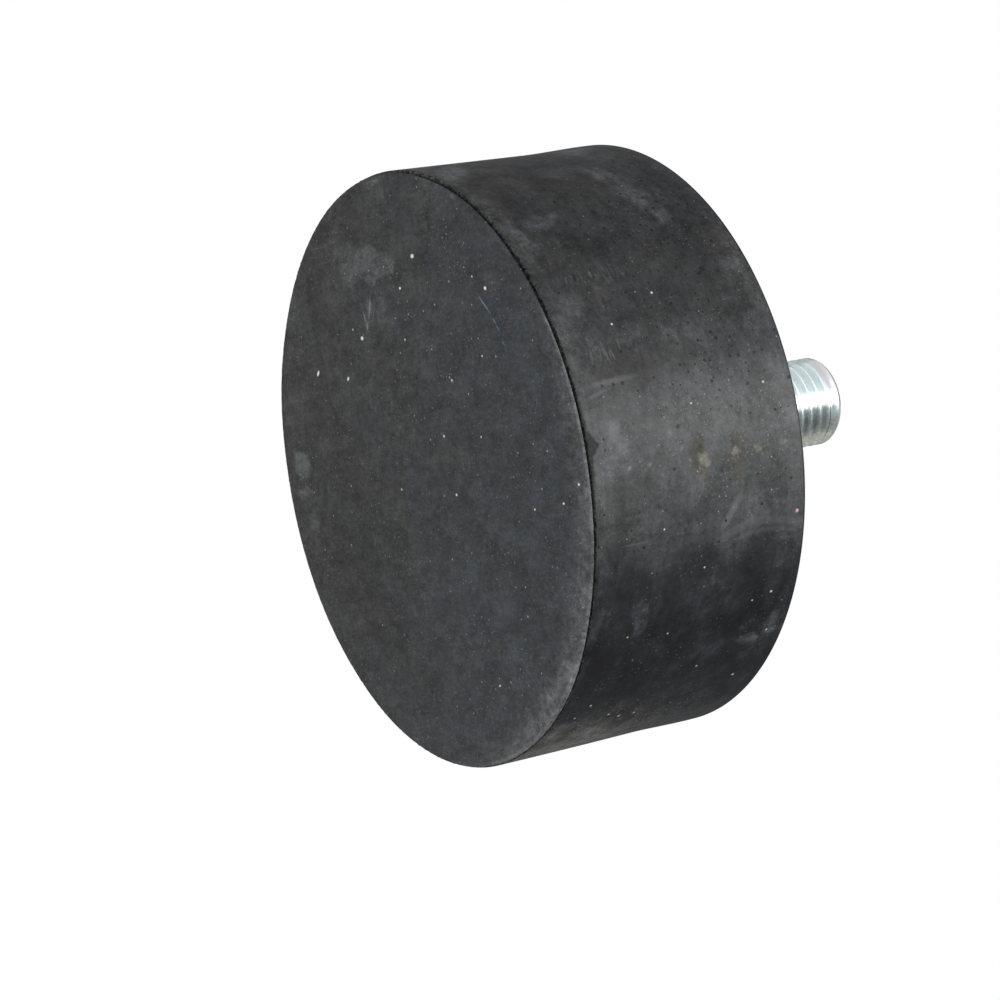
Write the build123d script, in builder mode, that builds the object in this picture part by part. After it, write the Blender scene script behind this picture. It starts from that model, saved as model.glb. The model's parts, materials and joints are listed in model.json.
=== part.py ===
from build123d import *
import os

# Anti-vibration mount: a round rubber buffer moulded onto a steel plate that carries one
# threaded stud. The other end is plain rubber, which presses against the floor or a stop.
#
# Millimetres. The mount stands on its rubber face: the origin is the middle of that face,
# and +Z runs up through the plate and out along the stud.

# --- Rubber body ---
end_diameter = 100.0  # widest, where the rubber wraps the plate
body_height = 40.0  # from the rubber face to the seat face
wall_setback = 0.4  # the plain wall stands this far inside the plate end
flare_length = 13.7  # the wall swells out to the plate end over this length
end_round = 0.3  # round on the edge at the plate end
lip_setback = 0.6  # the lip round the rubber face stands this far inside the plate end
lip_height = 0.3
lip_bevel = 0.1
groove_width = 0.4  # moulding groove between the lip and the wall
groove_depth = 0.45  # measured in from the lip

# --- Bonding plate ---
rim_skin = 1.5  # rubber over the rim of the plate
plate_thickness = 4.0
plate_bevel = 0.5  # on the edge that the rubber grips

# --- Threaded stud, M16, drawn plain at its major diameter ---
thread_diameter = 16.0
stud_length = 42.5  # from the seat face to the tip
tip_chamfer = 1.0
head_diameter = 26.0  # the head is moulded into the rubber behind the plate
head_height = 5.0
head_bevel = 1.0
neck_diameter = 17.0  # the plain neck is pressed into the plate's hole

# --- Derived radii and heights ---
end_radius = end_diameter / 2
wall_radius = end_radius - wall_setback
lip_radius = end_radius - lip_setback
groove_radius = lip_radius - groove_depth
groove_middle = lip_height + groove_width / 2
wall_start = lip_height + groove_width
seat_radius = end_radius - end_round
flare_end = body_height - end_round
flare_start = flare_end - flare_length
plate_radius = end_radius - rim_skin
plate_bottom = body_height - plate_thickness
head_bottom = plate_bottom - head_height

on_axis_upwards = (Align.CENTER, Align.CENTER, Align.MIN)


# The stud: a low round head, a neck that fills the plate's hole and the threaded shank.
with BuildPart() as threaded_stud:
    with Locations((0, 0, head_bottom)):
        Cylinder(head_diameter / 2, head_height, align=on_axis_upwards)
    chamfer(threaded_stud.edges().group_by(Axis.Z)[0], head_bevel)
    with Locations((0, 0, plate_bottom)):
        Cylinder(neck_diameter / 2, plate_thickness, align=on_axis_upwards)
    with Locations((0, 0, body_height)):
        Cylinder(thread_diameter / 2, stud_length, align=on_axis_upwards)
    chamfer(threaded_stud.edges().group_by(Axis.Z)[-1], tip_chamfer)
threaded_stud.part.label = "threaded_stud"


# The plate: a flat disc, with the stud pressed into its middle.
with BuildPart() as bonding_plate:
    with Locations((0, 0, plate_bottom)):
        Cylinder(plate_radius, plate_thickness, align=on_axis_upwards)
    chamfer(bonding_plate.edges().group_by(Axis.Z)[0], plate_bevel)
    add(threaded_stud.part, mode=Mode.SUBTRACT)
bonding_plate.part.label = "bonding_plate"


# The rubber: half its section, turned about the axis, then hollowed by what it is moulded
# round. The wall runs straight up from the groove and swells out smoothly at the plate end.
with BuildPart() as rubber_body:
    with BuildSketch(Plane.XZ):
        with BuildLine():
            Polyline(
                (0, body_height),
                (0, 0),
                (lip_radius - lip_bevel, 0),
                (lip_radius, lip_bevel),
                (lip_radius, lip_height),
                (groove_radius, groove_middle),
                (wall_radius, wall_start),
                (wall_radius, flare_start),
            )
            Spline(
                (wall_radius, flare_start),
                (end_radius, flare_end),
                tangents=[(0, 1), (0, 1)],
            )
            TangentArc((end_radius, flare_end), (seat_radius, body_height), tangent=(0, 1))
            Line((seat_radius, body_height), (0, body_height))
        make_face()
    revolve(axis=Axis.Z)
    add(bonding_plate.part, mode=Mode.SUBTRACT)
    add(threaded_stud.part, mode=Mode.SUBTRACT)
rubber_body.part.label = "rubber_body"


os.makedirs("parts", exist_ok=True)
export_step(rubber_body.part, "parts/rubber_body.step")
export_step(bonding_plate.part, "parts/bonding_plate.step")
export_step(threaded_stud.part, "parts/threaded_stud.step")
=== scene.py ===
"""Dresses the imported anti-vibration mount: used black rubber with a zinc-plated M16 stud.

Lengths in this script are in millimetres and angles in degrees, in the part's own frame: the
middle of the rubber face is the origin and +Z runs along the stud. MM turns them into metres.
"""

import json
import math

import bmesh
import bpy
import numpy as np
from mathutils import Matrix, Vector


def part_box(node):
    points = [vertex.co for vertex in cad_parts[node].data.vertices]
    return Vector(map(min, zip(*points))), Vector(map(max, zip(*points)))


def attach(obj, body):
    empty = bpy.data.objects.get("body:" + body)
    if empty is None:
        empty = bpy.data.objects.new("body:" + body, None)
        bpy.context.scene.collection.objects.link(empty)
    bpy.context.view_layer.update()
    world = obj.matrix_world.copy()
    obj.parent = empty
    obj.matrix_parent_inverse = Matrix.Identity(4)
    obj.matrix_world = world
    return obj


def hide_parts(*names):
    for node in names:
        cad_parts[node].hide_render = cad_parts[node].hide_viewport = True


MM = 0.001

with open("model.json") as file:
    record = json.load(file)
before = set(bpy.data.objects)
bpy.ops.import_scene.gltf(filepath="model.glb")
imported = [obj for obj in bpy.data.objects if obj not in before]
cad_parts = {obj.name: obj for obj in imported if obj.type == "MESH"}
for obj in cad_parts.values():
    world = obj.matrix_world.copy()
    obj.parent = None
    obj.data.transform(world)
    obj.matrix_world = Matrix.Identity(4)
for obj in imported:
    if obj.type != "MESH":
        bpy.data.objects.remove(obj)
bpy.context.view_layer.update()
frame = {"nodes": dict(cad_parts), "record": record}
scene = bpy.context.scene


# --- Sizes, read from the frame ---------------------------------------------------------

def box_mm(node):
    """Lowest and highest corner of a CAD node, in millimetres."""
    low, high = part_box(node)
    return np.array(low) / MM, np.array(high) / MM


_, rubber_high = box_mm("rubber_body")
plate_low, plate_high = box_mm("bonding_plate")
stud_low, stud_high = box_mm("threaded_stud")
stud_mount = next(m for m in frame["record"]["mounts"] if m["name"] == "stud")

seat_height = rubber_high[2]
end_radius = rubber_high[0] - 0.02  # a hair inside the CAD body, so the box never grows
plate_radius = plate_high[0]
plate_bottom = plate_low[2]
head_radius = stud_high[0]
head_bottom = stud_low[2]
stud_tip = stud_high[2]
thread_radius = stud_mount["dims"]["r_mm"]

wall_radius = end_radius - 0.4
lip_radius = end_radius - 0.6
flare_length = 13.7
end_round = 0.12


# --- Camera -----------------------------------------------------------------------------

def make_camera():
    """Looks up at the rubber face, with the stud pointing right and away."""
    off_axis = math.radians(59.16)  # between the view and the mount's axis
    roll = math.radians(10.91)
    distance = 436.8
    right_of_middle = 12.64
    below_middle = 4.53
    forward = Vector((0, math.sin(off_axis), math.cos(off_axis)))
    along_axis = Vector((0, -math.cos(off_axis), math.sin(off_axis)))
    side = Vector((1, 0, 0))
    right = math.sin(roll) * side + math.cos(roll) * along_axis
    up = -math.cos(roll) * side + math.sin(roll) * along_axis
    place = right_of_middle * right - below_middle * up - distance * forward
    camera = bpy.data.objects.new("camera", bpy.data.cameras.new("camera"))
    camera.data.sensor_width = 36.0
    camera.data.lens = 95.54
    camera.data.clip_start = 0.01
    camera.data.clip_end = 20.0
    facing = Matrix((right, up, -forward)).transposed()
    camera.matrix_world = Matrix.Translation(place * MM) @ facing.to_4x4()
    scene.collection.objects.link(camera)
    scene.camera = camera


make_camera()


# --- Mesh helpers -----------------------------------------------------------------------

def mesh_object(name, points, faces, slots=None, smooth_angle=40):
    """Makes an object from points in millimetres. slots gives each face's material slot."""
    mesh = bpy.data.meshes.new(name)
    mesh.from_pydata((np.asarray(points) * MM).tolist(), [], faces)
    if slots is not None:
        mesh.polygons.foreach_set("material_index", np.asarray(slots, dtype=np.int32))
    shape = bmesh.new()
    shape.from_mesh(mesh)
    bmesh.ops.remove_doubles(shape, verts=shape.verts, dist=1e-3 * MM)
    bmesh.ops.dissolve_degenerate(shape, edges=shape.edges, dist=1e-3 * MM)
    shape.to_mesh(mesh)
    shape.free()
    mesh.update()
    piece = bpy.data.objects.new(name, mesh)
    scene.collection.objects.link(piece)
    mesh.shade_smooth()
    mesh.set_sharp_from_angle(angle=math.radians(smooth_angle))
    return piece


def wavy(angles, seed, cycles, count=12):
    """A closed random curve of size about 1: count sines, with cycles from low to high."""
    random = np.random.default_rng(seed)
    turns = random.integers(cycles[0], cycles[1] + 1, count)
    phases = random.uniform(0, 2 * math.pi, count)
    sizes = random.uniform(0.5, 1.0, count)
    waves = sizes[:, None] * np.sin(turns[:, None] * angles[None, :] + phases[:, None])
    return waves.sum(axis=0) / math.sqrt(count / 3)


# --- Rubber body ------------------------------------------------------------------------

TURN_STEPS = 720
FACE, WALL, DARK = 0, 1, 2
LIP_TOP = 0.27  # height of the lip, below the groove
GROOVE_MOUTH = 0.46  # middling width of the groove at the wall
GROOVE_DEPTH = 0.36


def rubber_profile():
    """The section from the middle of the face to the floor of the pocket, as (r, z, slot).

    A slot belongs to the stretch that ends at its point.
    """
    face = [(r, 0.0, FACE) for r in np.linspace(1.5, lip_radius - 0.6, 34)]
    lip = [
        (lip_radius - 0.10, 0.0, FACE),
        (lip_radius - 0.02, 0.04, FACE),
        (lip_radius, 0.10, FACE),
        (lip_radius - 0.03, LIP_TOP, FACE),
    ]
    groove = [
        (lip_radius - depth * GROOVE_DEPTH, LIP_TOP + along * GROOVE_MOUTH, DARK)
        for along, depth in ((0.18, 0.6), (0.42, 1.0), (0.64, 0.95), (0.86, 0.45))
    ]
    flare_end = seat_height - end_round
    flare_start = flare_end - flare_length
    wall = [(wall_radius - 0.04, LIP_TOP + GROOVE_MOUTH, DARK)]
    wall += [(wall_radius, z, WALL) for z in (LIP_TOP + GROOVE_MOUTH + 0.10, 1.2)]
    wall += [(wall_radius, z, WALL) for z in np.linspace(2.0, flare_start, 24)]
    flare = []
    for step in np.linspace(0, 1, 19)[1:]:
        swell = step * step * (3 - 2 * step)
        radius = wall_radius + (end_radius - wall_radius) * swell
        flare.append((radius, flare_start + flare_length * step, WALL))
    turn = np.radians(np.linspace(15, 90, 6))
    corner = [
        (end_radius - end_round * (1 - math.cos(a)), flare_end + end_round * math.sin(a), WALL)
        for a in turn
    ]
    skin = np.linspace(end_radius - end_round, plate_radius, 3)[1:]
    seat = [(r, seat_height, WALL) for r in skin]
    pocket = [
        (plate_radius, plate_bottom, DARK),
        (head_radius, plate_bottom, DARK),
        (head_radius, head_bottom, DARK),
    ]
    return face + lip + groove + wall + flare + corner + seat + pocket


def make_rubber():
    """A lathed body with an uneven lip, a groove of changing width and a pole at each end."""
    profile = rubber_profile()
    radii = np.array([p[0] for p in profile])
    heights = np.array([p[1] for p in profile])
    slots = [p[2] for p in profile]
    count = len(profile)
    angles = np.linspace(-math.pi, math.pi, TURN_STEPS, endpoint=False)
    radius = np.repeat(radii[None, :], TURN_STEPS, axis=0)
    height = np.repeat(heights[None, :], TURN_STEPS, axis=0)

    # The groove gapes on one side of the mount and nearly closes on the other.
    widest = math.radians(-145)
    opening = 0.84 + 0.55 * np.cos(angles - widest) + 0.08 * wavy(angles, 3, (3, 30))
    opening = np.clip(opening, 0.4, 1.6)[:, None]
    groove_top = LIP_TOP + GROOVE_MOUTH
    even_wall = 1.5  # height where the wall no longer follows the groove's edge
    below_wall = np.clip((even_wall - heights) / (even_wall - groove_top), 0, 1)
    spread = np.clip((heights - LIP_TOP) / GROOVE_MOUTH, 0, 1) * below_wall
    height += spread * GROOVE_MOUTH * (opening - 1.0)
    in_groove = (heights > LIP_TOP) & (heights < groove_top)
    radius += np.where(in_groove, (radii - lip_radius) * (np.minimum(opening, 1.1) - 1.0), 0.0)

    # The lip is thin round most of the face, thicker on one side and narrower on another.
    thickest = math.radians(-38)
    narrowest = math.radians(-152)
    thicker = 0.45 * np.exp(-(((angles - thickest) / 0.33) ** 2)) - 0.14
    lift = np.clip(heights / LIP_TOP, 0, 1) * below_wall
    height += lift * thicker[:, None]
    narrower = 0.25 * np.exp(-(((angles - narrowest) / 0.5) ** 2))
    trimmed = (heights < groove_top - 0.1) & (radii > lip_radius - 0.5)
    radius -= narrower[:, None] * trimmed

    # The trimmed lip and the groove's far edge are ragged, and the wall is a little uneven.
    ragged = 0.025 * wavy(angles, 5, (60, 330), 60) + 0.04 * wavy(angles, 6, (3, 14))
    near_lip = (heights < LIP_TOP + 0.01) * (radii > lip_radius - 0.3)
    radius += ragged[:, None] * near_lip
    far_edge = (heights > groove_top - 0.1) & (heights < groove_top + 0.2)
    height += 0.035 * wavy(angles, 7, (60, 330), 60)[:, None] * far_edge
    on_wall = (heights > even_wall) & (heights < seat_height - end_round)
    fade = np.sin(np.clip(heights / seat_height, 0, 1) * math.pi)
    radius += 0.05 * wavy(angles, 8, (2, 6))[:, None] * fade * on_wall
    radius = np.minimum(radius, end_radius)

    ring = np.stack(
        [radius * np.cos(angles)[:, None], radius * np.sin(angles)[:, None], height], axis=-1
    )
    points = ring.reshape(-1, 3).tolist()
    face_pole = len(points)
    points.append((0.0, 0.0, 0.0))
    pocket_pole = len(points)
    points.append((0.0, 0.0, head_bottom))
    faces = []
    face_slots = []
    for i in range(TURN_STEPS):
        here = i * count
        there = ((i + 1) % TURN_STEPS) * count
        faces.append((face_pole, there, here))
        face_slots.append(FACE)
        for k in range(count - 1):
            faces.append((here + k, there + k, there + k + 1, here + k + 1))
            face_slots.append(slots[k + 1])
        faces.append((here + count - 1, there + count - 1, pocket_pole))
        face_slots.append(DARK)
    return mesh_object("rubber_skin", points, faces, face_slots)


rubber = make_rubber()


# --- Threaded stud ----------------------------------------------------------------------

PITCH = 2.0
NECK_RADIUS = 8.5


def make_stud():
    """An M16 x 2 stud: head and neck in the rubber and plate, rolled thread, bevelled tip."""
    steps = 120
    crest = thread_radius - 0.12
    depth = 1.15
    tip_bevel = 0.85
    first_crest = -0.20  # in pitches above the plate, at angle 0
    # One pitch of the section, as (pitches along, share of the thread's depth).
    section = [
        (0.00, 0.03), (0.03, 0.0), (0.12, 0.0), (0.15, 0.03), (0.30, 0.5),
        (0.44, 0.93), (0.51, 1.0), (0.61, 1.0), (0.68, 0.93), (0.84, 0.5),
    ]
    turns = int((stud_tip - seat_height) / PITCH) + 4
    base = [
        (head_radius - 1.0, head_bottom), (head_radius - 0.02, head_bottom + 1.0),
        (head_radius - 0.02, plate_bottom), (NECK_RADIUS, plate_bottom),
        (NECK_RADIUS, seat_height),
    ]

    def thread_point(along, share):
        """Radius and height of a point on the thread, cut off at the plate and the tip."""
        z = seat_height + along * PITCH
        # The roots rise out at the plate and over the last few millimetres before the tip.
        shallow = min(max(min((z - seat_height) / 2.5, (stud_tip - 1.5 - z) / 4.0), 0.0), 1.0)
        radius = crest - share * depth * shallow * (2 - shallow)
        z = min(max(z, seat_height), stud_tip)
        bevel = max(0.0, 1 - (stud_tip - z) / tip_bevel)
        rounded = 1 - math.sqrt(1 - bevel * bevel)
        return min(radius, crest - tip_bevel * (0.6 * rounded + 0.4 * bevel)), z

    points = []
    for step in range(steps):
        angle = 2 * math.pi * step / steps
        column = list(base)
        for turn in range(turns):
            for along, share in section:
                column.append(thread_point(turn - 2 + along + first_crest + step / steps, share))
        column.append((crest - tip_bevel - 0.4, stud_tip))
        points += [(r * math.cos(angle), r * math.sin(angle), z) for r, z in column]
    count = len(base) + len(section) * turns + 1
    points += [(0, 0, head_bottom), (0, 0, stud_tip)]
    faces = []
    for step in range(steps):
        here = step * count
        there = (step + 1) % steps * count
        faces.append((steps * count, there, here))
        faces.append((here + count - 1, there + count - 1, steps * count + 1))
        # At the seam the helix has moved on by one pitch, so a row of the last column meets the
        # row one pitch further along the first. The neck and the tip meet their own rows.
        jump = len(section) if step == steps - 1 else 0
        for k in range(count - 1):
            far = k if k < len(base) else min(k + jump, count - 2)
            far_next = min(k + 1 + jump, count - 2) if k >= len(base) else k + 1
            if k == count - 2:
                far_next = count - 1
            faces.append((here + k, there + far, there + far_next, here + k + 1))
    return mesh_object("stud_thread", points, faces, smooth_angle=50)


stud = make_stud()

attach(rubber, "root")
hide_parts("rubber_body")
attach(stud, "root")
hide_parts("threaded_stud")


# --- Materials --------------------------------------------------------------------------

class Surface:
    """One material's node tree. Its methods add nodes and return the socket to build on."""

    def __init__(self, name, specular=0.5, metal=0.0, edge=1.0):
        self.material = bpy.data.materials.new(name)
        self.material.use_nodes = True
        self.tree = self.material.node_tree
        self.shader = self.tree.nodes["Principled BSDF"]
        self.shader.inputs["Specular IOR Level"].default_value = specular
        self.shader.inputs["Metallic"].default_value = metal
        self.shader.inputs["Specular Tint"].default_value = (edge, edge, edge, 1)

    def put(self, socket, value):
        """Links an output to an input, or sets the input's own value."""
        if isinstance(value, bpy.types.NodeSocket):
            self.tree.links.new(value, socket)
        else:
            socket.default_value = value

    def node(self, kind, *inputs, named=None, **settings):
        """Adds a node, with its inputs given in order or by name."""
        made = self.tree.nodes.new("ShaderNode" + kind)
        for name, value in settings.items():
            setattr(made, name, value)
        for socket, value in zip(made.inputs, inputs):
            if value is not None:
                self.put(socket, value)
        for name, value in (named or {}).items():
            self.put(made.inputs[name], value)
        return made

    def math(self, operation, a, b=0.0, c=0.0):
        return self.node("Math", a, b, c, operation=operation).outputs[0]

    def add(self, first, *others):
        for other in others:
            first = self.math("ADD", first, other)
        return first

    def times(self, first, *others):
        for other in others:
            first = self.math("MULTIPLY", first, other)
        return first

    def most(self, first, *others):
        for other in others:
            first = self.math("MAXIMUM", first, other)
        return first

    def fade(self, value, low, high, to_low=0.0, to_high=1.0):
        """Eases from to_low at low to to_high at high."""
        made = self.node("MapRange", interpolation_type="SMOOTHSTEP", named={
            "Value": value, "From Min": low, "From Max": high, "To Min": to_low, "To Max": to_high,
        })
        return made.outputs["Result"]

    def band(self, value, middle, half_width, soft):
        """1 within half_width of middle, easing to 0 over soft."""
        away = self.math("ABSOLUTE", self.math("SUBTRACT", value, middle))
        return self.fade(away, half_width + soft, half_width)

    def sector(self, turn, middle, half_width, soft):
        """band for an angle in radians, with the rest given in degrees."""
        return self.band(turn, *(math.radians(a) for a in (middle, half_width, soft)))

    def place(self):
        """The point on the part, in millimetres."""
        point = self.node("TexCoord").outputs["Object"]
        return self.node("VectorMath", point, (1000,) * 3, operation="MULTIPLY").outputs[0]

    def split(self, vector):
        return self.node("SeparateXYZ", vector).outputs

    def join(self, x, y, z=0.0):
        return self.node("CombineXYZ", x, y, z).outputs[0]

    def local(self, where, start, size, turn=0.0):
        """where as seen from start, turned by turn degrees and measured in size."""
        return self.node("Mapping", vector_type="TEXTURE", named={
            "Vector": where, "Location": start, "Scale": size,
            "Rotation": (0, 0, math.radians(turn)),
        }).outputs[0]

    def clouds(self, where, size, detail, rough, start, stretch=(1, 1, 1), turn=0.0, out="Fac"):
        """Noise about 0.5, with features of the given size, drawn out by stretch."""
        made = self.node("TexNoise", named={
            "Vector": self.local(where, start, tuple(size * s for s in stretch), turn),
            "Scale": 1.0, "Detail": detail, "Roughness": rough,
        })
        return made.outputs[out]

    def around(self, noise, amount):
        """A factor about 1 from noise about 0.5."""
        return self.math("MULTIPLY_ADD", noise, amount, 1 - amount / 2)

    def warp(self, where, noise_at, size, reach, start):
        """A flat sheet, shifted unevenly by up to about reach."""
        shift = self.clouds(noise_at, size, 3, 0.6, start, out="Color")
        red, green, _ = self.node("SeparateColor", shift).outputs
        shift = self.join(red, green, 0.5)
        shift = self.node("VectorMath", shift, (0.5,) * 3, operation="SUBTRACT").outputs[0]
        shift = self.node("VectorMath", shift, (3 * reach,) * 3, operation="MULTIPLY").outputs[0]
        return self.node("VectorMath", where, shift, operation="ADD").outputs[0]

    def dots(self, where, cell, radius, chance, start, core=0.2):
        """Scattered dots on a flat sheet: at most one in each cell, of varied size.

        core is the share of the radius that is full strength.
        """
        made = self.node("TexVoronoi", voronoi_dimensions="2D", named={
            "Vector": self.local(where, start, (cell,) * 3), "Scale": 1.0,
        })
        luck = self.node("SeparateColor", made.outputs["Color"]).outputs
        size = self.math("MULTIPLY_ADD", luck[1], 0.8 * radius / cell, 0.4 * radius / cell)
        dot = self.fade(made.outputs["Distance"], size, self.times(size, core))
        return self.times(dot, self.math("LESS_THAN", luck[0], chance))

    def patches(self, where, marks):
        """Ovals on a flat sheet, as (u, v, length, width, turn of the length, softness, level)."""
        result = None
        for u, v, length, width, turn, soft, level in marks:
            inside = self.local(where, (u, v, 0), (length / 2, width / 2, 1), turn)
            away = self.node("VectorMath", inside, operation="LENGTH").outputs["Value"]
            mask = self.fade(away, 1.0, 1.0 - soft, 0.0, level)
            result = mask if result is None else self.most(result, mask)
        return result

    def spots(self, where, marks, soft=0.8):
        """Round marks on a flat sheet, as (u, v, width, level)."""
        result = None
        for u, v, width, level in marks:
            away = self.node("VectorMath", where, (u, v, 0), operation="DISTANCE").outputs["Value"]
            mask = self.fade(away, width / 2, width / 2 * (1.0 - soft), 0.0, level)
            result = mask if result is None else self.most(result, mask)
        return result

    def mix(self, factor, a, b):
        """Colour a where factor is 0 and colour b where it is 1."""
        made = self.node("Mix", data_type="VECTOR")
        self.put(made.inputs["Factor"], factor)
        for name, colour in (("A", a), ("B", b)):
            self.put(next(i for i in made.inputs if i.name == name and i.type == "VECTOR"), colour)
        return next(o for o in made.outputs if o.type == "VECTOR")

    def shaded(self, colour, factor):
        factor = self.join(factor, factor, factor)
        return self.node("VectorMath", colour, factor, operation="MULTIPLY").outputs[0]

    def finish(self, colour, rough, height=None, rise=0.0):
        """Closes the tree. height, in 0 to 1, lifts the surface by up to rise millimetres."""
        self.put(self.shader.inputs["Base Color"], colour)
        self.put(self.shader.inputs["Roughness"], rough)
        if height is not None:
            bump = self.node("Bump", named={"Distance": rise * MM, "Height": height})
            self.put(self.shader.inputs["Normal"], bump.outputs["Normal"])
        return self.material


BLACK = (0.006, 0.006, 0.007)
CHALK = (0.50, 0.50, 0.46)
SPECK = (0.80, 0.79, 0.72)


# --- Rubber face ------------------------------------------------------------------------

# Marks on the face, placed by x and y, in the form that Surface.patches takes.
FACE_SMEARS = [
    (-37.0, 12.5, 8.5, 11.0, 20, 0.3, 0.85),
    (-35.6, 5.0, 6.0, 20.0, 8, 0.25, 0.95),
    (-34.6, -1.5, 3.0, 6.0, 12, 0.5, 1.1),
    (-28.5, 7.8, 9.0, 3.4, 28, 0.8, 1.0),
    (-29.0, 3.5, 7.0, 7.0, 20, 0.8, 0.75),
    (-6.0, 42.5, 5.5, 8.0, 10, 0.5, 1.9),
    (-1.0, 43.5, 2.0, 7.0, 0, 0.8, 1.4),
    (4.0, 42.0, 7.0, 4.0, 30, 0.9, 1.0),
    (-1.0, 34.0, 5.0, 1.0, 15, 0.9, 0.8),
    (9.5, 21.5, 4.0, 1.3, 20, 0.9, 0.8),
    (-12.0, 6.0, 6.0, 1.0, 5, 0.9, 0.5),
    (20.5, 8.0, 3.5, 1.2, 10, 0.9, 0.5),
    (-41.0, -26.0, 1.5, 4.5, 35, 0.9, 0.9),
    (-46.5, 15.0, 3.0, 1.6, 10, 0.9, 0.8),
    (-48.3, -2.0, 1.8, 14.0, 4, 0.9, 0.8),
    (44.0, 25.0, 2.5, 5.0, 20, 0.9, 0.6),
]
FACE_SMOOTH = [
    (-6.0, 42.0, 3.0, 6.0, 14, 0.6, 1.0),
    (-7.5, 44.0, 3.6, 4.0, 10, 0.7, 0.6),
    (5.2, 42.4, 3.0, 2.4, 0, 0.8, 0.6),
]
FACE_STROKES = [
    (-28.6, 7.4, 8.0, 0.8, 30, 0.9, 1.0),
    (-27.6, 6.4, 6.0, 0.6, 32, 0.9, 0.6),
    (-27.2, 9.6, 6.0, 0.8, -8, 0.9, 0.8),
    (-26.0, 9.3, 3.0, 1.1, 24, 0.9, 1.0),
]
FACE_SCRATCH = [
    (-23.6, -28.9, 6.0, 0.42, -38, 0.7, 1.0),
    (-20.2, -31.2, 4.5, 0.38, -28, 0.7, 0.9),
    (-16.5, -32.6, 3.5, 0.34, -14, 0.8, 0.6),
]
FACE_SPECKS = [
    (-34.5, -9.9, 0.9, 1.4, 0, 0.6, 1.0),
    (-30.2, -4.0, 0.6, 0.9, 0, 0.6, 1.0),
    (-25.8, -30.2, 0.8, 1.0, 10, 0.6, 1.0),
    (-28.2, -27.0, 0.5, 0.5, 0, 0.6, 0.8),
    (-24.3, 11.9, 0.9, 1.2, 0, 0.6, 1.0),
    (-20.8, 30.0, 0.8, 1.7, -35, 0.6, 1.0),
    (-18.4, 19.5, 0.7, 1.2, -30, 0.6, 1.0),
    (-26.2, 14.5, 0.5, 0.6, 0, 0.6, 0.6),
    (-21.9, -2.4, 0.5, 0.5, 0, 0.6, 0.9),
    (-13.4, -14.8, 0.6, 0.6, 0, 0.6, 0.7),
    (-15.8, -25.5, 0.5, 0.6, 0, 0.6, 0.7),
    (-5.0, -9.0, 0.6, 0.6, 0, 0.6, 1.0),
    (-3.5, -20.5, 0.5, 0.5, 0, 0.6, 0.7),
    (4.7, -9.4, 0.6, 0.7, 0, 0.6, 0.9),
    (9.3, -32.3, 0.5, 0.6, 0, 0.6, 0.8),
    (9.2, -40.8, 0.5, 0.8, 0, 0.6, 0.9),
    (6.8, -46.0, 0.6, 0.8, 0, 0.6, 0.9),
    (2.0, 8.3, 0.5, 0.6, 0, 0.6, 0.7),
    (36.2, -11.5, 0.4, 0.9, -20, 0.6, 0.8),
]
FACE_WARM = [
    (-34.5, -10.2, 0.7, 0.7, 0, 0.8, 0.5),
    (-13.3, -15.1, 0.6, 0.6, 0, 0.8, 0.6),
]
FACE_PITS = [
    (-43.3, 1.8, 0.5, 1.3, 0, 0.6, 1.0),
    (-39.5, 0.6, 0.5, 0.9, 20, 0.6, 1.0),
    (6.7, -9.8, 0.6, 0.9, 0, 0.6, 0.9),
    (33.0, -28.2, 0.8, 0.9, 0, 0.7, 0.9),
    (11.6, -16.5, 0.4, 0.7, 0, 0.6, 0.8),
]


def face_shade(s, sheet, uneven, mottle):
    """How light the face is: cloudy and grainy, with painted shade towards +X and +Y and painted
    light near the rim at -Y.
    """
    grain = s.clouds(sheet, 0.7, 4, 0.75, (2, 30, 0), stretch=(1, 1.9, 1))
    streaks = s.clouds(sheet, 1.0, 3, 0.6, (2, 30, 0), stretch=(1, 6, 1), turn=8)
    dapple = s.clouds(uneven, 9.0, 3, 0.6, (60, 4, 0))
    # Painted shade: broad darker patches towards +X and +Y. Painted light: a lighter patch near
    # (20, -37).
    painted_shade = s.patches(sheet, [(14.0, 27.0, 74.0, 58.0, 0, 1.0, 0.20)])
    shade = s.times(s.around(mottle, 4.4), s.around(grain, 1.2), s.around(streaks, 0.5))
    more_painted_shade = s.patches(sheet, [(32.0, 12.0, 26.0, 26.0, 0, 1.0, 0.11)])
    painted_light = s.patches(sheet, [(20.0, -37.0, 26.0, 20.0, 0, 1.0, 0.13)])
    level = s.math("SUBTRACT", s.add(painted_light, 1.03), s.add(painted_shade, more_painted_shade))
    return s.times(shade, s.around(dapple, 1.3), level)


def face_rim(s, colour, radius, turn, torn):
    """A paler, speckled band just inside the lip, of pale dust with painted sheen, clearest on the
    side that faces -Y and +X, and a painted highlight along the lip's corner.
    """
    # Pale dust with painted sheen, strongest near -56 degrees.
    side = s.sector(turn, -56, 20, 52)
    band = s.times(s.fade(s.math("MULTIPLY_ADD", torn, 7.0, radius), 46.0, 52.5), side)
    rim = s.times(s.fade(radius, 48.6, 49.0), s.fade(torn, 0.35, 0.55, 0.4, 1.0))
    near = s.band(turn, math.radians(-76), math.radians(34), 0.1)
    # Painted highlight: a thin pale line on the lip's corner, between about -110 and -42 degrees.
    painted_lip_highlight = s.times(s.fade(radius, 48.95, 49.1), near)
    pale = s.add(s.times(band, s.fade(torn, 0.3, 0.6, 0.3, 0.75)), s.times(rim, side))
    flecks = s.times(s.fade(radius, 46.5, 49.0), s.fade(torn, 0.56, 0.68))
    pale = s.most(pale, s.times(flecks, 0.3))
    colour = s.mix(pale, colour, (0.120, 0.125, 0.126))
    return s.mix(s.times(painted_lip_highlight, s.fade(torn, 0.35, 0.6, 0.3, 0.9)), colour, (0.165, 0.170, 0.170))


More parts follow.
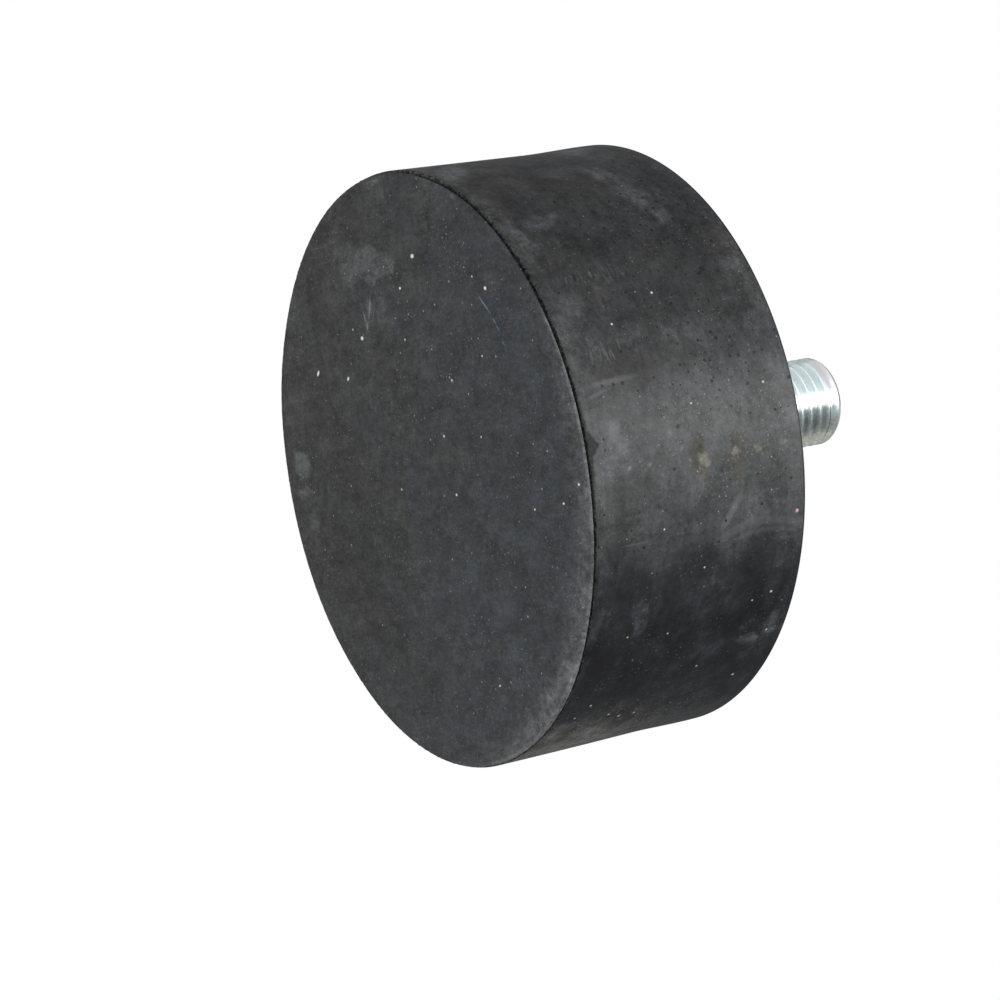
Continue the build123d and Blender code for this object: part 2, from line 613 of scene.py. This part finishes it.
def rubber_face_material():
    """The plain end: dusty dark grey with bluish clouds, specks, scuffs and smears."""
    s = Surface("rubber_face", specular=0.15)
    sheet = s.place()
    radius = s.node("VectorMath", sheet, operation="LENGTH").outputs["Value"]
    x, y, _ = s.split(sheet)
    turn = s.math("ARCTAN2", y, x)
    uneven = s.warp(sheet, sheet, 4.0, 1.3, (31, 7, 0))
    torn = s.clouds(sheet, 2.0, 5, 0.8, (17, 4, 0))
    mottle = s.clouds(sheet, 4.0, 5, 1.0, (9, 9, 0), stretch=(1, 1.8, 1))

    # Brown-grey and blue-grey clouds. The blue lies mostly towards -Y and +X.
    lean = s.add(s.times(y, -0.0045), s.times(x, 0.0020))
    blue = s.add(s.clouds(sheet, 14, 6, 0.65, (3, 8, 0)), lean)
    colour = s.mix(s.fade(blue, 0.38, 0.60), (0.0384, 0.0397, 0.0383), (0.0284, 0.0332, 0.0383))
    tint = s.fade(s.clouds(sheet, 3.0, 5, 0.8, (50, 21, 0)), 0.40, 0.62)
    colour = s.mix(s.times(tint, 0.5), colour, (0.0379, 0.0375, 0.0378))
    colour = face_rim(s, colour, radius, turn, torn)

    # Finger smears, scuffs and strokes, with the smears' smooth middles over the shading.
    smears = s.times(s.patches(uneven, FACE_SMEARS), s.fade(torn, 0.3, 0.6, 0.55, 1.0))
    colour = s.mix(s.times(smears, 0.33), colour, (0.15, 0.16, 0.165))
    strokes = s.patches(sheet, FACE_STROKES)
    colour = s.mix(s.times(strokes, 0.4), colour, (0.30, 0.31, 0.29))
    colour = s.shaded(colour, face_shade(s, sheet, uneven, mottle))
    smooth = s.patches(uneven, FACE_SMOOTH)
    colour = s.mix(s.times(smooth, 0.42), colour, (0.125, 0.135, 0.150))

    # One broken bluish scratch.
    broken = s.fade(s.clouds(sheet, 0.9, 2, 0.5, (5, 5, 0)), 0.36, 0.50)
    scratch = s.times(s.patches(sheet, FACE_SCRATCH), broken)
    colour = s.mix(scratch, colour, (0.13, 0.21, 0.28))

    # Chalky specks: a fine dusting, sparse larger ones and the few that stand out.
    cluster = s.fade(s.clouds(sheet, 9, 3, 0.6, (70, 3, 0)), 0.40, 0.62, 0.1, 1.0)
    dusting = s.dots(sheet, 1.5, 0.19, 0.35, (0.3, 0.7, 0))
    fine = s.dots(sheet, 0.9, 0.15, 0.45, (7, 2, 0))
    colour = s.mix(s.times(s.most(dusting, s.times(fine, 0.6)), cluster, 0.42), colour, CHALK)
    larger = s.dots(sheet, 5.0, 0.22, s.fade(y, 25, -25, 0.15, 0.5), (4, 1, 0))
    colour = s.mix(s.times(larger, 0.7), colour, CHALK)
    single = s.patches(sheet, FACE_SPECKS)
    colour = s.mix(single, colour, SPECK)
    colour = s.mix(s.patches(sheet, FACE_WARM), colour, (0.55, 0.45, 0.10))

    # Small black pits.
    pits = s.times(s.dots(sheet, 2.6, 0.22, 0.25, (11, 6, 0), 0.5), cluster)
    pits = s.most(pits, s.patches(sheet, FACE_PITS))
    colour = s.mix(s.times(pits, 0.85), colour, BLACK)

    height = s.math("SUBTRACT", s.add(s.times(mottle, 0.5), single), pits)
    return s.finish(colour, s.fade(blue, 0.36, 0.62, 0.72, 0.60), height, 0.07)


# --- Rubber wall ------------------------------------------------------------------------

# Marks on the wall, placed by degrees round the axis and height, otherwise in the forms that
# Surface.patches and Surface.spots take.
# Pale scuffs; many of those between -110 and -60 degrees are painted highlight that evens out the
# highlight band.
WALL_SCUFFS_AND_HIGHLIGHT = [
    (-146, 28.0, 14, 7.0, 25, 0.9, 1.3),
    (-137, 28.9, 13, 6.5, 8, 0.8, 1.9),
    (-131.5, 30.6, 7, 3.2, -15, 0.8, 1.7),
    (-148, 31.5, 40, 12, 0, 1.0, 0.45),
    (-134, 8.5, 4.5, 12, 10, 0.8, 1.4),
    (-129, 3.0, 16, 3.0, -3, 0.8, 1.4),
    (-164, 31.8, 12, 11, 0, 0.9, 2.4),
    (-127, 4.0, 6, 4.0, 0, 0.9, 0.7),
    (-105, 36.0, 7, 5.5, 0, 0.9, 1.3),
    (-45, 37.5, 4, 4.0, 0, 0.9, 1.2),
    (-114, 5.0, 13, 6.0, 0, 0.9, 1.0),
    (-158, 5.0, 18, 6.5, -32, 0.7, 2.7),
    (-167, 4.0, 8, 7, 0, 0.9, 1.6),
    (-149, 20.0, 10, 9, 0, 0.9, 0.6),
    (-106, 6.5, 7, 5, -12, 0.9, 0.8),
    (-106, 13.5, 10, 9, 0, 1.0, 1.0),
    (-76, 8.0, 6, 7, 0, 1.0, 1.0),
    (-88, 5.0, 9, 8.5, 0, 0.8, 1.8),
    (-84, 5.5, 5.0, 6.5, 0, 0.9, 1.9),
    (-83.8, 2.8, 6.0, 5.0, 0, 0.8, 2.0),
    (-97, 25.0, 7, 12, 35, 0.9, 0.25),
    (-101, 38.0, 16, 4.0, 0, 0.9, 0.8),
    (-105, 24.0, 9, 24, 0, 1.0, 0.9),
    (-117, 37.0, 5, 5, 0, 0.9, 0.9),
    (-72, 33.0, 7, 18, 0, 1.0, 0.8),
    (-61, 35.0, 22, 5.5, 0, 1.0, 0.6),
    (-87, 38.0, 7, 6.0, 0, 0.9, 0.9),
    (-54.5, 9.8, 8.0, 3.2, 5, 0.5, 0.6),
    (-58, 4.2, 10, 1.3, -8, 0.9, 0.3),
    (-47, 13.0, 9, 7, 25, 0.9, 0.25),
    (-43.5, 33.5, 3.5, 9, -15, 0.8, 1.1),
    (-47, 37.0, 6.5, 3.5, 0, 0.9, 1.2),
    (-40, 26.0, 7, 6, -30, 0.9, 0.25),
]
WALL_RUBS = [
    (-119.0, 10.0, 4.0, 22, 0, 0.8, 1.1),
    (-104.0, 8.0, 5.0, 15, 0, 0.8, 1.0),
    (-128.0, 7.0, 3.0, 12, 0, 0.9, 0.8),
]
WALL_STAINS = [
    (-82.6, 20.3, 11.0, 3.8, 3, 0.6, 0.9),
    (-81.6, 27.3, 10.5, 4.4, 0, 0.6, 0.9),
]
WALL_STAIN_EDGES = [
    (-83.5, 18.9, 9.0, 0.8, 2, 0.9, 0.9),
    (-82.0, 25.3, 6.5, 0.8, 0, 0.9, 1.0),
]
WALL_BLOTCHES = [
    (-82.6, 20.8, 2.9, 1.4),
    (-81.2, 21.6, 1.9, 0.9),
    (-83.0, 27.0, 2.3, 1.2),
    (-82.5, 31.4, 2.3, 1.3),
    (-83.2, 35.9, 1.7, 1.1),
    (-89.5, 36.0, 0.95, 0.8),
    (-93.5, 20.6, 1.04, 0.7),
    (-81.0, 13.4, 1.06, 0.6),
    (-83.5, 11.0, 0.95, 0.9),
    (-83.6, 7.0, 1.18, 1.3),
    (-85.2, 17.4, 1.13, 0.6),
]
WALL_SCRATCHES = [
    (-69.6, 7.5, 0.5, 7.0, 0, 0.9, 0.8),
    (-72.0, 25.9, 9.5, 2.0, -34, 0.8, 1.3),
    (-77.5, 18.4, 10.0, 1.0, 1, 0.9, 0.5),
    (-98.7, 7.0, 1.5, 14.0, 4, 0.9, 1.0),
    (-96.8, 4.0, 1.0, 7.0, 14, 0.9, 0.8),
    (-90.4, 5.8, 4.8, 2.7, -18, 0.5, 0.8),
]
WALL_SPECKS = [
    (-113.9, 20.1, 0.60, 1.0),
    (-109.0, 10.7, 0.54, 0.9),
    (-94.0, 34.5, 0.62, 0.8),
    (-92.5, 20.5, 0.53, 0.7),
    (-62.3, 21.1, 0.48, 0.8),
    (-71.2, 13.0, 0.45, 0.9),
    (-54.2, 35.2, 0.62, 0.9),
    (-53.0, 31.8, 0.45, 0.8),
    (-50.8, 8.3, 0.47, 0.8),
    (-49.5, 16.2, 0.45, 0.8),
    (-33.0, 34.2, 0.70, 0.9),
    (-26.5, 14.3, 0.72, 0.8),
    (-26.3, 17.4, 0.64, 0.7),
    (-28.4, 11.6, 0.66, 0.7),
    (-33.7, 6.2, 0.64, 0.7),
    (-30.3, 4.4, 0.60, 0.6),
    (-45.0, 36.6, 0.48, 0.8),
    (-38.6, 25.0, 0.7, 0.5),
]
WALL_PITS = [
    (-117.2, 31.0, 1.40, 1.0),
    (-116.5, 30.3, 0.95, 1.0),
    (-104.7, 27.7, 0.80, 1.0),
    (-111.3, 22.6, 0.80, 1.0),
    (-142.0, 32.4, 0.90, 1.0),
    (-122.8, 35.5, 0.85, 1.0),
]


def at(degrees):
    """Distance along the wall's sheet of an angle round the axis."""
    return math.radians(degrees) * wall_radius


def on_wall(marks):
    """Marks placed by degrees and height, as marks on the wall's sheet."""
    return [(at(degrees), *rest) for degrees, *rest in marks]


class WallSheet:
    """Where a point is on the wall laid flat, and the noise that most of its marks share."""

    def __init__(self, s):
        self.point = s.place()
        x, y, self.z = s.split(self.point)
        self.turn = s.math("ARCTAN2", y, x)
        self.arc = s.times(self.turn, wall_radius)
        self.flat = s.join(self.arc, self.z)
        self.uneven = s.warp(self.flat, self.point, 5.0, 1.3, (31, 7, 5))
        self.torn = s.clouds(self.point, 1.8, 5, 0.8, (17, 4, 2))
        self.mottle = s.clouds(self.point, 4.5, 5, 1.0, (9, 19, 0))
        wander = s.math("SUBTRACT", s.clouds(self.point, 9, 4, 0.65, (1, 1, 4)), 0.5)
        self.edge = s.add(self.arc, s.times(wander, 7.0))  # arc, shifted unevenly


def wall_clean_and_shaded(s, wall):
    """1 where the wall is free of dust and darker, partly as painted shade, beyond an uneven line
    at -69 degrees.
    """
    lean = s.times(s.fade(wall.z, 20.0, 40.0), 3.0)
    leaning = s.math("SUBTRACT", wall.edge, lean)
    clean_and_shaded = s.fade(leaning, at(-71.5), at(-60.0), 0.0, 1.0)
    firm = s.fade(leaning, at(-70.5), at(-68.5), 0.35, 1.0)
    return s.times(s.math("POWER", clean_and_shaded, 0.6), firm, s.fade(wall.edge, at(-14), at(-26)))


def wall_shade(s, wall, clean_and_shaded):
    """How light the wall is: uneven, most of all where it is free of dust, and darkest near -37 as
    painted shade.
    """
    streaks = s.clouds(wall.point, 1.1, 4, 0.7, (5, 2, 9), stretch=(6, 6, 1))
    dapple = s.clouds(wall.point, 9.0, 4, 0.65, (60, 4, 0))
    contrast = s.fade(clean_and_shaded, 0, 1, 1.8, 4.0)
    loose = s.math("MULTIPLY_ADD", s.math("SUBTRACT", dapple, 0.5), contrast, 1.0)
    drawn = s.clouds(wall.flat, 2.2, 4, 0.7, (25, 12, 0), stretch=(3.5, 1, 1), turn=-12)
    strength = s.fade(clean_and_shaded, 0, 1, 0.4, 2.2)
    drawn = s.math("MULTIPLY_ADD", s.math("SUBTRACT", drawn, 0.5), strength, 1.0)
    shade = s.times(s.around(wall.mottle, 4.0), s.around(streaks, 0.9), loose, drawn)
    # Painted shade: darker near -37 degrees.
    away = s.math("ABSOLUTE", s.math("SUBTRACT", wall.arc, at(-37)))
    return s.times(shade, s.fade(away, 9.0, 3.0, 1.0, 0.84))


def wall_dust(s, wall, colour, dust_and_painted_highlight):
    """Dust and painted light: over the polished part, in scuffs and smears, towards +X, along both
    edges.
    """
    # Pale dust with a painted highlight, in the band near -82 degrees.
    colour = s.mix(s.times(dust_and_painted_highlight, 0.64), colour, (0.060, 0.062, 0.063))
    # Scuffs and smears; many of those between -110 and -60 degrees are painted highlight.
    scuffs = s.patches(wall.uneven, on_wall(WALL_SCUFFS_AND_HIGHLIGHT))
    scuffs = s.times(scuffs, s.fade(wall.torn, 0.32, 0.62, 0.35, 1.0))
    colour = s.mix(s.times(scuffs, 0.38), colour, (0.105, 0.114, 0.124))

    # Towards +X there is most of it near the rubber face, as dust with painted reflection.
    beyond = s.times(s.fade(wall.edge, at(-33), at(-17)), s.fade(wall.edge, at(70), at(30)))
    beyond = s.times(beyond, s.fade(wall.z, 32.0, 2.0, 0.0, 1.35))
    beyond = s.times(beyond, s.fade(wall.torn, 0.3, 0.6, 0.4, 1.0))
    colour = s.mix(beyond, colour, (0.118, 0.115, 0.110))

    # A strip beside the groove and a paler rim at the plate, each of one level on both sides of
    # the seam, where the angle jumps from -180 to 180 degrees.
    from_seam = (math.radians(-178), math.radians(-166))
    strip = s.times(s.fade(wall.z, 5.0, 1.2), s.fade(wall.torn, 0.38, 0.58, 0.2, 1.0))
    strip = s.times(strip, s.fade(wall.edge, at(-70), at(-60), 1.0, 0.3))
    strip = s.times(strip, s.fade(wall.edge, at(-140), at(-115), 1.5))
    strip = s.times(strip, s.fade(wall.turn, *from_seam, 0.2, 1.0))
    rim = s.times(s.fade(wall.z, 36.0, 39.0), s.fade(wall.torn, 0.38, 0.62, 0.15, 1.0))
    rim = s.times(rim, s.fade(wall.edge, at(-36), at(-50)), s.fade(wall.turn, *from_seam))
    return s.mix(s.add(s.times(strip, 0.30), s.times(rim, 0.17)), colour, (0.110, 0.114, 0.115))


def wall_rubs(s, wall, colour):
    """Short rub marks in rows, and fine scratches along the wall."""
    ticks = s.clouds(wall.flat, 0.5, 2, 0.5, (4, 9, 0), stretch=(5, 1, 1), turn=-2)
    ticks = s.times(s.fade(ticks, 0.50, 0.62), s.patches(wall.uneven, on_wall(WALL_RUBS)))
    ticks = s.times(ticks, s.fade(wall.torn, 0.36, 0.56, 0.3, 1.0))
    hairs = s.clouds(wall.flat, 0.45, 2, 0.5, (14, 9, 0), stretch=(1, 9, 1), turn=8)
    hairs = s.times(s.fade(hairs, 0.60, 0.72), s.fade(wall.torn, 0.45, 0.6))
    return s.mix(s.add(s.times(ticks, 0.32), s.times(hairs, 0.12)), colour, (0.15, 0.16, 0.17))


def wall_stains(s, wall, colour, stains):
    """Two dull olive stains, each darker along one edge, with pale blotches in and near them."""
    colour = s.mix(s.times(stains, 0.66), colour, (0.0680, 0.0650, 0.0475))
    edges = s.patches(wall.uneven, on_wall(WALL_STAIN_EDGES))
    colour = s.mix(s.times(edges, 0.5), colour, (0.0220, 0.0220, 0.0180))
    blotches = s.spots(wall.uneven, on_wall(WALL_BLOTCHES))
    return s.mix(s.times(blotches, 0.30), colour, (0.25, 0.24, 0.20))


def wall_scratches(s, wall, colour):
    """Scratches, and two swept arcs, one inside the other, about a middle near -48 degrees."""
    scratches = s.patches(wall.flat, on_wall(WALL_SCRATCHES))
    middle = (at(-48.2), 31.8, 0)
    swept = s.node("VectorMath", wall.flat, middle, operation="DISTANCE").outputs["Value"]
    swept = s.most(s.band(swept, 18.2, 0.25, 0.9), s.times(s.band(swept, 16.6, 0.1, 0.5), 0.6))
    swept = s.times(swept, s.fade(wall.arc, at(-64.5), at(-67.0)), s.fade(wall.z, 21.5, 25.0))
    scratches = s.most(scratches, s.times(swept, 0.55))
    return s.mix(s.times(scratches, 0.38), colour, (0.15, 0.155, 0.165))


def wall_specks(s, wall, colour, dust_and_painted_highlight, single):
    """Chalky specks: a fine dusting, larger ones, those of the dusty parts, and single ones, with
    painted glints.
    """
    cluster = s.fade(s.clouds(wall.point, 8, 3, 0.6, (70, 3, 0)), 0.40, 0.62, 0.1, 1.0)
    dusting = s.dots(wall.flat, 1.0, 0.16, 0.35, (0.3, 0.7, 0))
    colour = s.mix(s.times(dusting, cluster, 0.22), colour, CHALK)
    larger = s.dots(wall.flat, 5.5, 0.18, 0.35, (4, 1, 0))
    # Painted glints: specks only in the highlight band near -88 degrees, and painted sparkle where
    # it is brightest.
    glints = s.times(s.dots(wall.flat, 0.8, 0.17, 0.55, (2, 5, 0)), s.sector(wall.turn, -88, 5, 8))
    glints = s.times(glints, s.fade(wall.torn, 0.47, 0.57), s.fade(wall.z, 4.0, 24.0, 0.4, 1.0))
    painted_sparkle = s.dots(wall.flat, 1.7, 0.20, 0.5, (8, 5, 0))
    painted_sparkle = s.times(painted_sparkle, s.fade(wall.torn, 0.50, 0.58), dust_and_painted_highlight, 1.3)
    # Dust specks towards +X, brighter there as painted glints.
    beyond = s.fade(wall.turn, math.radians(-37), math.radians(-22))
    beyond = s.times(beyond, s.fade(wall.turn, math.radians(120), math.radians(50)))
    dusty = s.times(s.dots(wall.flat, 0.8, 0.20, 0.6, (6, 2, 0)), beyond)
    dusty = s.times(dusty, s.fade(wall.torn, 0.44, 0.60), s.fade(wall.z, 36.0, 26.0), 1.4)
    specks = s.most(larger, s.times(glints, 0.85), painted_sparkle, dusty)
    colour = s.mix(s.times(specks, 0.40), colour, CHALK)
    colour = s.mix(s.times(single, 0.85), colour, SPECK)
    pink = s.spots(wall.flat, on_wall([(-69.8, 38.4, 0.9, 0.9)]))
    return s.mix(pink, colour, (0.62, 0.40, 0.45))


def wall_pits(s, wall):
    """Black pits, thickest at the plate end on the side near -114 degrees."""
    pitted = s.band(wall.turn, math.radians(-114), math.radians(12), 0.35)
    chance = s.fade(s.times(s.fade(wall.z, 12, 26), pitted), 0, 1, 0.08, 0.48)
    scattered = s.dots(wall.flat, 1.6, 0.27, chance, (11, 6, 0), 0.6)
    return s.most(scattered, s.spots(wall.flat, on_wall(WALL_PITS), 0.5))


def wall_dirt(s, wall):
    """Dirt that has run from the groove: a mound near -88 degrees and a blot near -45."""
    slope = s.times(s.math("ABSOLUTE", s.math("SUBTRACT", wall.arc, at(-88.3))), -0.75)
    tail = s.band(wall.arc, at(-88.0), 3.5, 3.0)
    mound = s.most(s.add(slope, 2.1), s.times(tail, 0.45))
    mound = s.add(mound, s.times(s.clouds(wall.flat, 0.9, 4, 0.7, (6, 6, 0)), 1.1))
    mound = s.fade(s.math("SUBTRACT", mound, wall.z), -0.25, 0.30, 0.0, 0.50)
    blot = s.patches(wall.uneven, on_wall([(-45.5, 4.6, 10.5, 6.2, -10, 0.7, 0.9)]))
    return s.most(mound, blot)


def rubber_wall_material():
    """The round wall: black rubber, dust-free with painted shade on one side and dusty on the
    other, pitted and stained.
    """
    s = Surface("rubber_wall", specular=0.16)
    wall = WallSheet(s)
    clean_and_shaded = wall_clean_and_shaded(s, wall)
    # Pale dust with painted highlight: a band near -82 degrees, fading towards the face.
    dust_and_painted_highlight = s.band(wall.turn, math.radians(-82), math.radians(8), 0.26)
    dust_and_painted_highlight = s.times(dust_and_painted_highlight, s.fade(wall.z, 0, 22, 0.4))
    stains = s.patches(wall.uneven, on_wall(WALL_STAINS))
    single = s.spots(wall.flat, on_wall(WALL_SPECKS))
    pits = wall_pits(s, wall)
    dirt = wall_dirt(s, wall)

    # Brown-grey and blue-grey clouds, darker and with bluish blotches where the wall is free of
    # dust.
    # The darkening there is partly painted shade.
    blue = s.clouds(wall.point, 13, 6, 0.65, (3, 8, 20))
    colour = s.mix(s.fade(blue, 0.38, 0.62), (0.0272, 0.0274, 0.0264), (0.0215, 0.0243, 0.0278))
    tint = s.fade(s.clouds(wall.point, 3.0, 5, 0.8, (50, 21, 0)), 0.40, 0.62)
    colour = s.mix(s.times(tint, 0.5), colour, (0.0256, 0.0252, 0.0258))
    colour = s.mix(s.times(clean_and_shaded, 0.88), colour, (0.0082, 0.0091, 0.0108))
    blotchy = s.clouds(wall.flat, 3.5, 5, 0.75, (8, 33, 0), stretch=(1, 1.5, 1), turn=25)
    blotchy = s.times(s.fade(blotchy, 0.50, 0.66), clean_and_shaded)
    colour = s.mix(s.times(blotchy, 0.30), colour, (0.030, 0.036, 0.044))

    colour = wall_dust(s, wall, colour, dust_and_painted_highlight)
    colour = wall_rubs(s, wall, colour)
    colour = wall_stains(s, wall, colour, stains)
    colour = s.shaded(colour, wall_shade(s, wall, clean_and_shaded))
    colour = wall_scratches(s, wall, colour)
    colour = wall_specks(s, wall, colour, dust_and_painted_highlight, single)
    colour = s.mix(s.times(pits, 0.92), colour, BLACK)

    # The dirt; painted shade on the turned corner at the plate and along the edge below it on the
    # dust-free side.
    corner = s.fade(wall.z, seat_height - 0.40, seat_height - 0.25, 0.0, 0.9)
    below = s.times(s.fade(wall.z, 37.0, 38.6, 0.0, 0.40), s.fade(wall.edge, at(-50), at(-38)))
    below = s.times(below, s.fade(wall.edge, at(40), at(10)))
    colour = s.mix(s.most(dirt, corner, below), colour, BLACK)

    height = s.math("SUBTRACT", s.add(s.times(wall.mottle, 0.5), single), s.times(pits, 1.2))
    polish = s.sector(wall.turn, -90, 18, 26)
    polish = s.times(polish, s.math("SUBTRACT", 1.0, s.most(dirt, s.times(stains, 0.6))))
    patchy = s.times(s.math("SUBTRACT", wall.torn, 0.5), 0.35)
    return s.finish(colour, s.add(s.fade(polish, 0, 1, 0.88, 0.48), patchy), height, 0.06)


# --- Groove and zinc --------------------------------------------------------------------

def rubber_dark_material():
    """Inside the groove and the pocket: dark, with grit."""
    s = Surface("rubber_dark", specular=0.1)
    grit = s.clouds(s.place(), 0.8, 4, 0.8, (3, 3, 3))
    colour = s.mix(s.fade(grit, 0.42, 0.62), (0.018, 0.018, 0.018), (0.110, 0.108, 0.104))
    return s.finish(colour, 0.9)


def zinc_material(name, colour, dull, painted_reflection_level, painted_light_level):
    """Zinc plating: bluish silver, cloudy and grainy, with painted light and reflection by angle.

    painted_light_level says how much painted highlight it gets near -90 degrees and how much
    painted pale light near -125, and painted_reflection_level how much painted reflection dulls it
    near -50 and tints it olive near -14.
    """
    s = Surface(name, metal=1.0, edge=0.45)
    point = s.place()
    x, y, z = s.split(point)
    cloudy = s.clouds(point, 3.0, 5, 0.7, (2, 2, 2))
    grain = s.clouds(point, 0.5, 4, 0.7, (7, 1, 2))
    turn = s.math("ARCTAN2", y, x)
    # The painted light and reflection, which follow the angle, stay off the flat end,
    # where z is the tip's and the radius small.
    radius = s.node("VectorMath", s.join(x, y), operation="LENGTH").outputs["Value"]
    below = s.times(s.math("SUBTRACT", stud_tip, z), 10.0)
    flat_radius = 7.0
    flank = s.fade(s.add(radius, below), flat_radius - 0.3, flat_radius)
    # Painted reflection: duller near -50 degrees and olive near -14. Painted light: a highlight
    # near -90 and paler near -125.
    side = s.times(s.sector(turn, -50, 7, 32), flank)
    side = s.times(side, s.fade(z, stud_tip - 0.8, stud_tip - 2.8, 0.8, 1.0))
    olive = s.times(s.sector(turn, -14, 20, 14), flank)
    painted_highlight = s.times(s.sector(turn, -90, 7, 7), flank)
    above = s.times(s.sector(turn, -125, 22, 12), flank)
    far_end = s.fade(z, stud_tip - 3.4, stud_tip - 2.4)
    tint = s.mix(s.fade(cloudy, 0.35, 0.65), colour, dull)
    tint = s.mix(s.times(side, painted_reflection_level), tint, (0.15, 0.17, 0.16))
    tint = s.mix(s.times(olive, painted_reflection_level), tint, (0.40, 0.41, 0.36))
    tint = s.shaded(tint, s.around(grain, 1.4))
    tint = s.mix(s.times(above, painted_light_level, 0.7), tint, (0.76, 0.84, 0.85))
    # Less painted light over the last turns before the tip.
    tint = s.mix(s.times(above, far_end, 0.9), tint, (0.60, 0.59, 0.61))
    tint = s.mix(s.times(painted_highlight, painted_light_level), tint, (0.95, 0.97, 0.97))
    tip = s.times(s.fade(z, stud_tip - 0.95, stud_tip - 0.75), flank)
    tint = s.mix(s.times(tip, 0.85), tint, (0.38, 0.37, 0.365))
    tint = s.mix(s.times(tip, s.sector(turn, -118, 36, 8)), tint, (0.19, 0.185, 0.188))
    rough = s.fade(s.add(cloudy, s.times(grain, 0.4)), 0.5, 0.9, 0.32, 0.44)
    rough = s.most(rough, s.times(above, painted_light_level, 0.6))
    return s.finish(tint, s.most(rough, s.times(tip, 0.6)), grain, 0.015)


rubber.data.materials.append(rubber_face_material())
rubber.data.materials.append(rubber_wall_material())
rubber.data.materials.append(rubber_dark_material())
# The stud gets 0.80 of painted reflection and 0.9 of painted light; the plate gets none.
stud_look = zinc_material("stud_zinc", (0.50, 0.56, 0.57), (0.41, 0.47, 0.48), 0.80, 0.9)
stud.data.materials.append(stud_look)
plate = frame["nodes"]["bonding_plate"]
plate_look = zinc_material("plate_zinc", (0.58, 0.61, 0.62), (0.50, 0.53, 0.54), 0.0, 0.0)
plate.material_slots[0].material = plate_look


# --- Stage and light --------------------------------------------------------------------

def make_floor():
    """A pale floor that keeps the part's shadow and fades into the white around it.

    It is seen from above only: from below it is clear, because the camera is there.
    """
    half = 1500.0
    drop = -0.05
    solid_out_to, gone_by = 90.0, 260.0
    corners = [(-half, -half, drop), (half, -half, drop), (half, half, drop), (-half, half, drop)]
    floor = mesh_object("floor", corners, [(0, 1, 2, 3)])
    s = Surface("floor")
    s.finish((0.9, 0.9, 0.9, 1), 0.9)
    away = s.node("VectorMath", s.place(), operation="LENGTH").outputs["Value"]
    under = s.node("NewGeometry").outputs["Backfacing"]
    clear = s.node("BsdfTransparent")
    see_through = s.most(under, s.fade(away, solid_out_to, gone_by))
    mixed = s.node("MixShader", see_through, s.shader.outputs[0], clear.outputs[0])
    s.put(s.tree.nodes["Material Output"].inputs["Surface"], mixed.outputs[0])
    floor.data.materials.append(s.material)
    floor.visible_diffuse = False
    floor.visible_glossy = False
    floor.visible_transmission = False
    floor.visible_shadow = False


def make_world():
    """White where the camera, a reflection or a clear surface sees it, and soft grey as light."""
    world = bpy.data.worlds.new("world")
    scene.world = world
    world.use_nodes = True
    tree = world.node_tree
    tree.nodes.clear()
    path = tree.nodes.new("ShaderNodeLightPath")
    seen = path.outputs["Is Camera Ray"]
    for ray in ("Is Glossy Ray", "Is Transmission Ray"):
        either = tree.nodes.new("ShaderNodeMath")
        either.operation = "MAXIMUM"
        tree.links.new(seen, either.inputs[0])
        tree.links.new(path.outputs[ray], either.inputs[1])
        seen = either.outputs[0]
    white = tree.nodes.new("ShaderNodeBackground")
    white.inputs["Color"].default_value = (1, 1, 1, 1)
    white.inputs["Strength"].default_value = 1.0
    soft = tree.nodes.new("ShaderNodeBackground")
    soft.inputs["Color"].default_value = (0.97, 0.98, 1.0, 1)
    soft.inputs["Strength"].default_value = 0.35
    mix = tree.nodes.new("ShaderNodeMixShader")
    out = tree.nodes.new("ShaderNodeOutputWorld")
    tree.links.new(seen, mix.inputs[0])
    tree.links.new(soft.outputs[0], mix.inputs[1])
    tree.links.new(white.outputs[0], mix.inputs[2])
    tree.links.new(mix.outputs[0], out.inputs["Surface"])


def make_lamp(name, direction, distance, size, level):
    """An area lamp aimed at the body. level is what a white surface facing it would read."""
    direction = Vector(direction).normalized()
    target = Vector((0, 0, seat_height / 2)) * MM
    lamp = bpy.data.objects.new(name, bpy.data.lights.new(name, "AREA"))
    lamp.data.shape = "DISK"
    lamp.data.size = size * MM
    lamp.data.energy = level * math.pi ** 2 * (distance * MM) ** 2
    lamp.location = target + direction * distance * MM
    lamp.rotation_mode = "QUATERNION"
    lamp.rotation_quaternion = direction.to_track_quat("Z", "Y")
    scene.collection.objects.link(lamp)


make_floor()
make_world()
make_lamp("window", (0.0, -0.85, 0.515), 700, 240, 0.9)
make_lamp("fill", (0.0, -0.05, -1.0), 900, 500, 0.5)
make_lamp("top", (-0.3, 0.25, 1.0), 900, 500, 0.35)

scene.view_settings.view_transform = "Standard"
